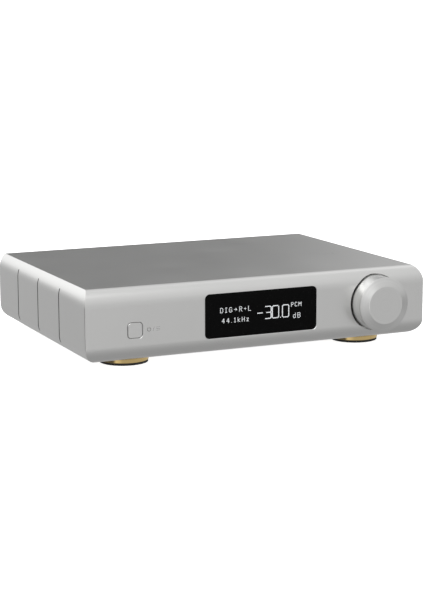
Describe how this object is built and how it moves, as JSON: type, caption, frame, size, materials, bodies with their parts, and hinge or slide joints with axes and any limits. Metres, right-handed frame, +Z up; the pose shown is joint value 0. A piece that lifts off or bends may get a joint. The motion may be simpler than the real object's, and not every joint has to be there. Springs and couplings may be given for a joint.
{
  "type": "desktop dac",
  "caption": "Flat desktop digital-to-analogue converter with rounded aluminium front, dark display, side button, large bevelled volume knob and turned brass feet.",
  "frame": {"origin": "on the surface the feet stand on, below the middle of the object's overall box", "axes": "+X to the right seen from the front, +Y from the front panel to the rear sockets, +Z up"},
  "size_m": [0.31, 0.251, 0.0662],
  "materials": {
    "case_aluminium": "satin, bead blasted and anodised natural",
    "rear_aluminium": "satin anodised",
    "knob_aluminium": "fine turned and anodised natural",
    "window_glass": "polished, dark tinted",
    "screen_black": "gloss",
    "circuit_board": "satin solder mask",
    "foot_brass": "polished, turned",
    "pad_rubber": "matte",
    "steel": "zinc plated",
    "black_screws": "black oxide",
    "socket_shell": "nickel plated",
    "gold_contacts": "gold plated",
    "blade_nickel": "nickel plated",
    "black_plastic": "moulded, fine grain",
    "rocker_plastic": "moulded, satin gloss",
    "capacitor_sleeve": "shrink sleeve",
    "heatsink_black": "black anodised",
    "ribbon_grey": "grey insulation",
    "transformer_tape": "wound tape"
  },
  "bodies": {
    "root": {"base_plate": "rear_aluminium", "base_screws": "steel", "board_screws": "steel", "board_standoffs": "steel", "coax_input": "gold_contacts", "cover_screws": "steel", "dac_chips": "black_plastic", "display_module": "screen_black", "display_window": "window_glass", "encoder_body": "socket_shell", "encoder_nut": "steel", "foot_front_left": "foot_brass", "foot_front_right": "foot_brass", "foot_pad_front_left": "pad_rubber", "foot_pad_front_right": "pad_rubber", "foot_pad_rear_left": "pad_rubber", "foot_pad_rear_right": "pad_rubber", "foot_rear_left": "foot_brass", "foot_rear_right": "foot_brass", "foot_screws": "steel", "front_board": "circuit_board", "front_brackets": "rear_aluminium", "front_panel": "case_aluminium", "front_spacers": "steel", "inlet_pins": "blade_nickel", "left_side": "case_aluminium", "main_board": "circuit_board", "main_capacitors": "capacitor_sleeve", "mains_inlet": "black_plastic", "optical_input": "black_plastic", "phono_bushes": "black_plastic", "power_board": "circuit_board", "power_capacitors": "capacitor_sleeve", "power_transformer": "transformer_tape", "rca_left": "gold_contacts", "rca_right": "gold_contacts", "rear_panel": "rear_aluminium", "rear_screws": "black_screws", "regulator_heatsink": "heatsink_black", "ribbon_cable": "ribbon_grey", "right_side": "case_aluminium", "shield_can": "steel", "switch_housing": "black_plastic", "tact_switch": "black_plastic", "top_cover": "case_aluminium", "transformer_bolt": "steel", "transformer_washer": "steel", "usb_socket": "socket_shell", "xlr_left": "socket_shell", "xlr_pins": "gold_contacts", "xlr_right": "socket_shell"},
    "encoder_push": {"encoder_plunger": "black_plastic"},
    "knob": {"volume_knob": "knob_aluminium", "knob_set_screw": "steel", "encoder_shaft": "steel"},
    "button": {"front_button": "knob_aluminium", "switch_stem": "black_plastic"},
    "rocker": {"power_rocker": "rocker_plastic"},
    "shutter": {"optical_door": "black_plastic"}
  },
  "joints": [
    {"name": "knob_press", "type": "slide", "parent": "root", "child": "encoder_push", "axis": [0, 1, 0], "range_m": [0, 0.0006], "stiffness_N_per_m": 3000, "springref_m": -0.0006},
    {"name": "knob_turn", "type": "hinge", "parent": "encoder_push", "child": "knob", "pos_m": [0.1082, -0.1085, 0.0382], "axis": [0, 1, 0], "continuous": true},
    {"name": "button_press", "type": "slide", "parent": "root", "child": "button", "axis": [0, 1, 0], "range_m": [0, 0.0005], "stiffness_N_per_m": 1500, "springref_m": -0.0006},
    {"name": "rocker_tilt", "type": "hinge", "parent": "root", "child": "rocker", "pos_m": [-0.084, 0.117, 0.0359], "axis": [-1, 0, 0], "range_deg": [0, 16]},
    {"name": "shutter_swing", "type": "hinge", "parent": "root", "child": "shutter", "pos_m": [-0.01, 0.1152, 0.0289], "axis": [-1, 0, 0], "range_deg": [0, 80], "stiffness_Nm_per_rad": 0.0003, "springref_deg": -17.19}
  ]
}
